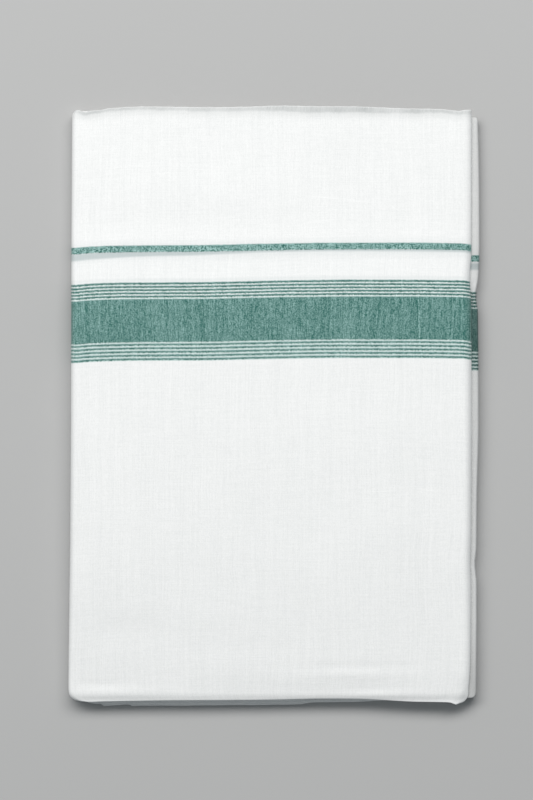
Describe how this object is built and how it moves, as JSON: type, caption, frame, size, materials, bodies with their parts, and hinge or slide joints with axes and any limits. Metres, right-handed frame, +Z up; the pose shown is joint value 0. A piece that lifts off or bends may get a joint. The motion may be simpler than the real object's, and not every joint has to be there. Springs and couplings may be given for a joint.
{
  "type": "dhoti cloth",
  "caption": "Dhoti, a length of thin white cotton with woven green border stripes, pressed and folded into a flat packet that lies on a shelf or table.",
  "frame": {"origin": "centre of the packet's underside, on the surface it lies on", "axes": "+Z up, out of the front panel; +Y towards the edge where the selvedges lie; +X towards the side with the loose folds and the cloth's two ends"},
  "size_m": [0.2568, 0.376, 0.015],
  "materials": {
    "outer_cotton": "thin plain-woven white cotton, pressed, matt, with a woven green border of a thin stripe and a broad band between fine lines",
    "inner_cotton": "the same cotton where it lies inside the packet, seen as fine layered edges"
  },
  "bodies": {
    "root": {"outer_ply": "outer_cotton", "fold_b_ply": "outer_cotton", "fold_a_ply": "outer_cotton", "cut_end_ply": "outer_cotton", "hidden_layers": "inner_cotton"}
  },
  "joints": []
}
